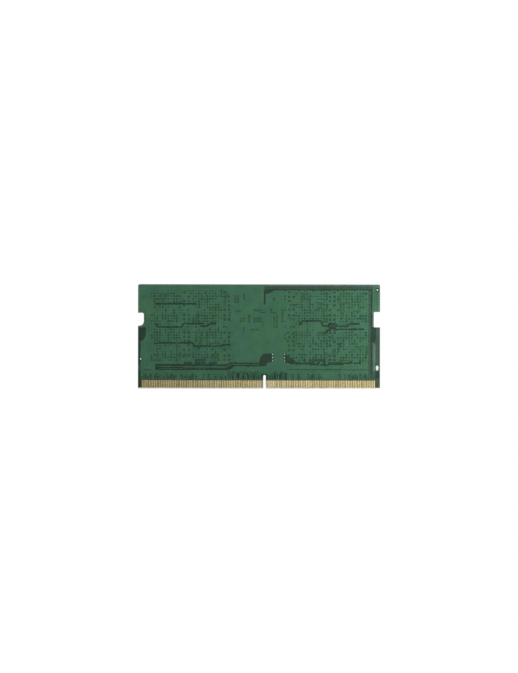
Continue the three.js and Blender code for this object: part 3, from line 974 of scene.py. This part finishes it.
def add_board():
    paint("pcb_laminate", GLASS_EPOXY)
    opened = [circle(x, z, clear, ROUND) for x, z, _, clear in MARKS]
    opened += [square(x, z, TEST_PAD_OPENING) for x, z in TEST_PADS]
    draw = random.Random(SEED)
    copper_relief(BACK, BACK_GAPS, BARE_PLACES, opened, draw)
    copper_relief(FRONT, FRONT_GAPS, [], SOLDER_PADS, draw)
    for side in (BACK, FRONT):
        mask_on_laminate(side)
        lit_mask_on_border(side)
        mask_on_core(side)
        add_fingers(side)
    marks = [circle(x, z, radius, ROUND) for x, z, radius, _ in MARKS]
    x, z, half_width, half_height = OBLONG_MARK
    marks.append([(x + half_width * a, z + half_height * b) for a, b in circle(0, 0, 1, ROUND)])
    raised_pads("alignment_marks", BACK, marks)
    raised_pads("test_pads", BACK, [square(x, z, TEST_PAD_HALF) for x, z in TEST_PADS])


# ---- solder ----------

# A soldered terminal: the axis and sign that its outer face looks along, where that face is, how wide it is
# from low to high along the other axis, how far the solder reaches in under it and out from it, and how high
# it climbs.
Joint = namedtuple("Joint", "axis sign face low high inner toe climb")

PAD_TOP = 0.575
PART_FOOT = 0.65  # the underside of the soldered parts
SMALL_CHIP = Vector((0.3, 0.3, 0.6))
SMALL_CHIP_ROWS = [(19.6, (-1.6, 0, 1.6)), (17.4, (-1.6, 0, 1.6)), (8.2, (-4.1, -2.4, 2.4, 4.1))]
END_SHARE = 0.22  # of a chip's length, for each metal end

# A row of terminals: how wide each is, their pitch, and how far solder reaches in, out and up.
Row = namedtuple("Row", "width pitch inner toe climb")
LEADLESS_ROW = Row(0.26, PITCH, 0.3, 0.16, 0.17)
INDUCTOR_ROW = Row(1.5, 1, 0.4, 0.22, 0.4)
ARRAY_ROW = Row(0.28, 0.5, 0.2, 0.14, 0.28)
ARRAY_TERMINALS = 4

# How deep under a part and how high up its side its metal terminals reach.
TERMINALS = {"leadless": (0.3, 0.12), "inductor": (0.4, 0.45), "array": (0.28, 0.31)}


def other_axis(axis):
    return UP if axis == ACROSS else ACROSS


def long_axis(low, high):
    return ACROSS if high.x - low.x > high.z - low.z else UP


def outer_faces(low, high, axis):
    """The two ends of a box along an axis, each as its sign and place."""
    return (-1, low[axis]), (1, high[axis])


def chip_joints(low, high):
    axis = long_axis(low, high)
    other = other_axis(axis)
    length = high[axis] - low[axis]
    climb = PART_FOOT - PAD_TOP + 0.65 * (high.y - low.y)
    shape = (low[other], high[other], END_SHARE * length, 0.06 + 0.1 * length, climb)
    return [Joint(axis, sign, face, *shape) for sign, face in outer_faces(low, high, axis)]


def row_joints(low, high, axis, row, count):
    """Terminals in a row along each of the two sides that look along an axis."""
    other = other_axis(axis)
    middle = (low[other] + high[other]) / 2
    starts = [middle + (i - (count - 1) / 2) * row.pitch - row.width / 2 for i in range(count)]
    return [
        Joint(axis, sign, face, start, start + row.width, row.inner, row.toe, row.climb)
        for sign, face in outer_faces(low, high, axis)
        for start in starts
    ]


def leadless_joints(low, high):
    joints = []
    for axis in (ACROSS, UP):
        other = other_axis(axis)
        count = round((high[other] - low[other]) / PITCH) - 1
        joints += row_joints(low, high, axis, LEADLESS_ROW, count)
    return joints


def small_chip_boxes():
    """Small capacitors that stand upright above and below the memory packages."""
    boxes = []
    for x in sorted({round(cx, 3) for cx, _ in package_centres()}):
        for z, offsets in SMALL_CHIP_ROWS:
            for offset in offsets:
                low = Vector((x + offset - SMALL_CHIP.x / 2, PART_FOOT, z - SMALL_CHIP.z / 2))
                boxes.append((low, low + SMALL_CHIP))
    return boxes


def soldered_parts():
    """The joints of every soldered part but the memory packages, by the kind of part."""
    joints = {"chip": [], "leadless": [], "inductor": [], "array": []}
    for low, high in small_chip_boxes():
        joints["chip"] += chip_joints(low, high)
    for name in sorted(NODES):
        low, high = node_box(name)
        if "capacitor" in name or name == "ferrite_bead":
            joints["chip"] += chip_joints(low, high)
        elif name in ("pmic_package", "spd_hub_package"):
            joints["leadless"] += leadless_joints(low, high)
        elif "inductor" in name:
            joints["inductor"] += row_joints(low, high, ACROSS, INDUCTOR_ROW, 1)
        elif "array" in name:
            joints["array"] += row_joints(low, high, UP, ARRAY_ROW, ARRAY_TERMINALS)
    return joints


def pad_outline(joint):
    """The opening in the mask round a soldered terminal."""
    margin = 0.05
    inner = joint.face - joint.sign * joint.inner
    ends = sorted((inner, joint.face + joint.sign * (joint.toe + margin)))
    sides = (joint.low - margin, joint.high + margin)
    if joint.axis == ACROSS:
        return rectangle(*ends, *sides)
    return rectangle(*sides, *ends)


def add_solder(builder, joint):
    """Solder that fills the gap under a terminal and climbs its outer face in a hollow curve."""
    steps = [math.pi / 2 * i / 5 for i in range(1, 6)]
    curve = [(joint.toe * (1 - math.sin(t)), joint.climb * (1 - math.cos(t))) for t in steps]
    profile = [(-joint.inner, 0), (joint.toe, 0), *curve, (-joint.inner, PART_FOOT - PAD_TOP)]
    ring = []
    for out, rise in profile:
        point = Vector((0, PAD_TOP + rise, 0))
        point[joint.axis] = joint.face + joint.sign * out
        point[other_axis(joint.axis)] = joint.low
        ring.append(point)
    shift = Vector()
    shift[other_axis(joint.axis)] = joint.high - joint.low
    builder.add_prism(ring, shift)


def add_terminal(builder, joint, depth, height, proud=0.006):
    """A metal terminal that wraps the foot of a part, standing a little proud of it."""
    low = Vector((0, PART_FOOT - proud, 0))
    high = Vector((0, PART_FOOT + height, 0))
    ends = sorted((joint.face - joint.sign * depth, joint.face + joint.sign * proud))
    low[joint.axis], high[joint.axis] = ends
    other = other_axis(joint.axis)
    low[other], high[other] = joint.low, joint.high
    builder.add_box(low, high, 0.004)


# ---- packages and passives ----------

def paint(node, material):
    NODES[node].data.materials.clear()
    NODES[node].data.materials.append(material)


def soften(node, width):
    """Rounds the edges of a CAD node, as they come out of a mould or a die cutter."""
    weld = NODES[node].modifiers.new("weld", "WELD")
    weld.merge_threshold = 0.001 * MM
    bevel = NODES[node].modifiers.new("bevel", "BEVEL")
    bevel.width = width * MM
    bevel.segments = 2
    bevel.limit_method = "ANGLE"


def add_memory_packages():
    for number, (cx, cz) in enumerate(package_centres(), 1):
        substrate = f"dram_{number}_substrate"
        low, high = node_box(substrate)
        plate_low = high.y - PACKAGE_LAMINATE_THICKNESS
        plate = Builder()
        plate.add_box((low.x, plate_low, low.z), high, 0.02)
        plate_name = f"dram_{number}_package_laminate"
        plate.piece(plate_name, PACKAGE_LAMINATE, "package_substrate", [substrate])
        balls = Builder()
        for column in range(BALL_COLUMNS):
            for row in BALL_ROWS:
                x = cx + (column - (BALL_COLUMNS - 1) / 2) * VIA_PITCH
                middle = (x, (low.y + plate_low) / 2, cz + row)
                place = Matrix.Translation(middle) @ Matrix.Diagonal((*BALL_RADII, 1))
                ball = bmesh.new()
                bmesh.ops.create_icosphere(ball, subdivisions=1, radius=1, matrix=place)
                balls.add_bmesh(ball)
        balls.piece(f"dram_{number}_solder_balls", TIN, "tin_solder", smooth=True)
        paint(f"dram_{number}_mould", MOULD)
        soften(f"dram_{number}_mould", 0.05)
        paint(f"dram_{number}_die", SILICON)


def add_chip_shapes(bodies, ends, low, high):
    """A two-terminal chip: a ceramic body with a slightly larger metal cap on each end."""
    axis = long_axis(low, high)
    end = END_SHARE * (high[axis] - low[axis])
    waist = Vector((0.02, 0.02, 0.02))
    waist[axis] = end / 2
    bodies.add_box(low + waist, high - waist, 0.02)
    for sign, face in outer_faces(low, high, axis):
        cap_low, cap_high = low.copy(), high.copy()
        cap_low[axis], cap_high[axis] = sorted((face, face - sign * end))
        ends.add_box(cap_low, cap_high, 0.03)


def add_chip(node, material, slot):
    bodies, ends = Builder(), Builder()
    add_chip_shapes(bodies, ends, *node_box(node))
    bodies.piece(f"{node}_body", material, slot, [node])
    ends.piece(f"{node}_terminals", TIN, "tin_solder")


def add_small_chips():
    bodies, ends = Builder(), Builder()
    for low, high in small_chip_boxes():
        add_chip_shapes(bodies, ends, low, high)
    bodies.piece("small_capacitor_bodies", CERAMIC, "capacitor_ceramic")
    ends.piece("small_capacitor_terminals", TIN, "tin_solder")


def add_support_parts():
    for name in sorted(NODES):
        if "capacitor" in name:
            add_chip(name, CERAMIC, "capacitor_ceramic")
        elif "inductor" in name:
            paint(name, FERRITE)
            soften(name, 0.08)
        elif "array" in name:
            paint(name, RESISTOR)
    add_chip("ferrite_bead", FERRITE, "ferrite")
    add_small_chips()
    for name in ("pmic_package", "spd_hub_package"):
        paint(name, MOULD)
        soften(name, 0.04)
    paint("identification_label", PAPER)
    soften("identification_label", 0.02)


def add_solder_joints():
    joints = soldered_parts()
    solder, terminals = Builder(), Builder()
    for kind in joints:
        for joint in joints[kind]:
            add_solder(solder, joint)
    for kind, (depth, height) in TERMINALS.items():
        for joint in joints[kind]:
            add_terminal(terminals, joint, depth, height)
    solder.piece("solder_joints", TIN, "tin_solder")
    terminals.piece("part_terminals", TIN, "tin_solder")


# ---- studio ----------

def add_camera():
    low, high = CAD_BOX
    span = (high.x - low.x) / PHOTO_WIDTH_SHARE  # the frame's width, in metres, at the bare face
    distance = span * FRAME_ASPECT * CAMERA_LENS / CAMERA_SENSOR
    data = bpy.data.cameras.new("camera")
    data.lens = CAMERA_LENS
    data.sensor_width = CAMERA_SENSOR
    camera = placed("camera", data)
    camera.location = (0, low.y - distance, (low.z + high.z) / 2)
    camera.rotation_euler = (math.pi / 2, math.radians(CAMERA_ROLL), 0)
    data.clip_start, data.clip_end = 0.05, 20
    bpy.context.scene.camera = camera


def add_light(name, location, size, power):
    data = bpy.data.lights.new(name, "AREA")
    data.shape = "RECTANGLE"
    data.size, data.size_y = size
    data.energy = power
    light = placed(name, data)
    light.location = location
    aim = Vector(AIM) - light.location
    light.rotation_mode = "QUATERNION"
    light.rotation_quaternion = aim.to_track_quat("-Z", "Y")
    light.visible_camera = False


def add_world():
    """A white backdrop for the camera, and a dimmer room for the light and the reflections on the object."""
    world = bpy.data.worlds.new("studio")
    world.use_nodes = True
    tree = world.node_tree
    path = tree.nodes.new("ShaderNodeLightPath")
    shown = tree.nodes["Background"]
    shown.inputs["Color"].default_value = (1, 1, 1, 1)
    shown.inputs["Strength"].default_value = ROOM_LIGHT
    for ray, strength in (("Is Glossy Ray", ROOM_REFLECTION), ("Is Camera Ray", 1.0)):
        seen = tree.nodes.new("ShaderNodeBackground")
        seen.inputs["Color"].default_value = (1, 1, 1, 1)
        seen.inputs["Strength"].default_value = strength
        either = tree.nodes.new("ShaderNodeMixShader")
        tree.links.new(path.outputs[ray], either.inputs[0])
        tree.links.new(shown.outputs[0], either.inputs[1])
        tree.links.new(seen.outputs[0], either.inputs[2])
        shown = either
    tree.links.new(shown.outputs[0], tree.nodes["World Output"].inputs["Surface"])
    bpy.context.scene.world = world


def add_floor():
    """A pale floor, which the camera sees as white as the backdrop, so that no edge shows between them."""
    shader = Shader("pale_floor", Roughness=0.9)
    shader.colour(shader.ramp(shader.noise(6, 2), [(0.3, (0.9, 0.9, 0.9)), (0.7, (0.92, 0.92, 0.92))]))
    seen = shader.node("ShaderNodeLightPath").outputs["Is Camera Ray"]
    white = shader.node("ShaderNodeEmission", Color=(1, 1, 1, 1), Strength=1.0).outputs[0]
    links = [(seen, 0), (shader.surface.outputs[0], 1), (white, 2)]
    either = shader.node("ShaderNodeMixShader", links)
    shader.tree.links.new(either.outputs[0], shader.tree.nodes["Material Output"].inputs["Surface"])
    size = FLOOR_REACH
    corners = [(-size, -size, 0), (size, -size, 0), (size, size, 0), (-size, size, 0)]
    mesh = bpy.data.meshes.new("floor")
    mesh.from_pydata(corners, [], [[0, 1, 2, 3]])
    mesh.materials.append(shader.material)
    floor = placed("floor", mesh)


def add_studio():
    add_world()
    add_floor()
    for light in LIGHTS:
        add_light(*light)
    bpy.context.scene.view_settings.view_transform = "Standard"


SOLDER_PADS = [pad_outline(joint) for joints in soldered_parts().values() for joint in joints]

add_camera()
add_board()
add_memory_packages()
add_support_parts()
add_solder_joints()
add_studio()
